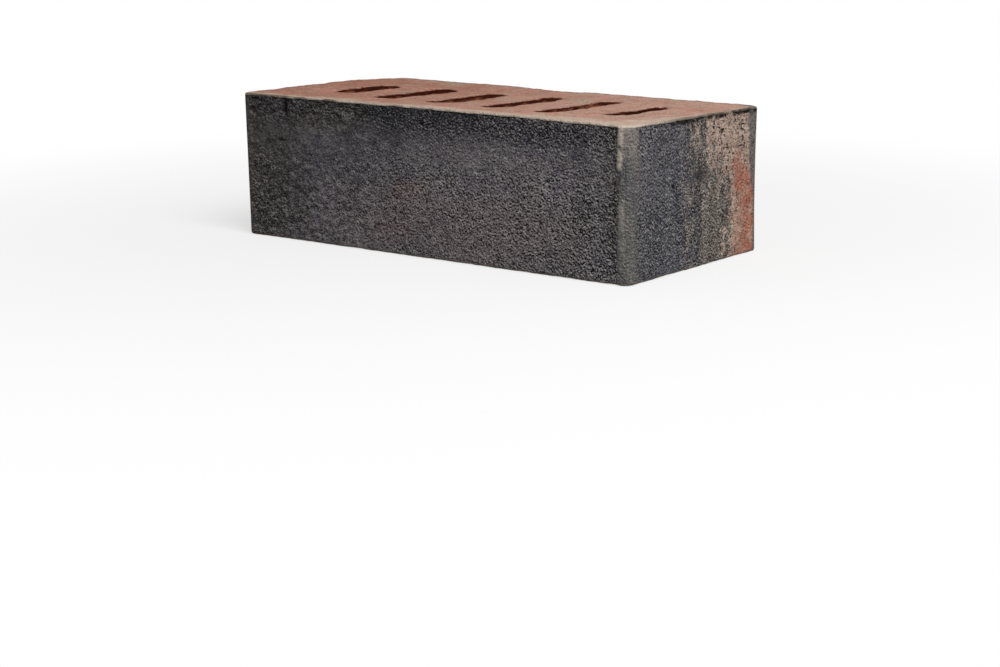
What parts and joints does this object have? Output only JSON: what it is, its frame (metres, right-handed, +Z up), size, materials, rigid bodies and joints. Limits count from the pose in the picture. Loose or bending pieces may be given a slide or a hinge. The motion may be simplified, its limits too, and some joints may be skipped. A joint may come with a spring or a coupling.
{
  "type": "clay brick",
  "caption": "Perforated clay facing brick: a long block with smooth rounded corners, scraped dark faces and a row of slots through its beds, for laying in mortar.",
  "frame": {"origin": "middle of the lower bed, on the surface that the brick rests on", "axes": "+X along the length, towards the right header; +Y from the front stretcher face to the back one; +Z up, from the lower bed to the upper bed"},
  "size_m": [0.215, 0.1024, 0.065],
  "materials": {
    "fired_clay": "dark, rough, scraped faces fired grey and brown, with plain terracotta beds"
  },
  "bodies": {
    "root": {"brick": "fired_clay"}
  },
  "joints": []
}
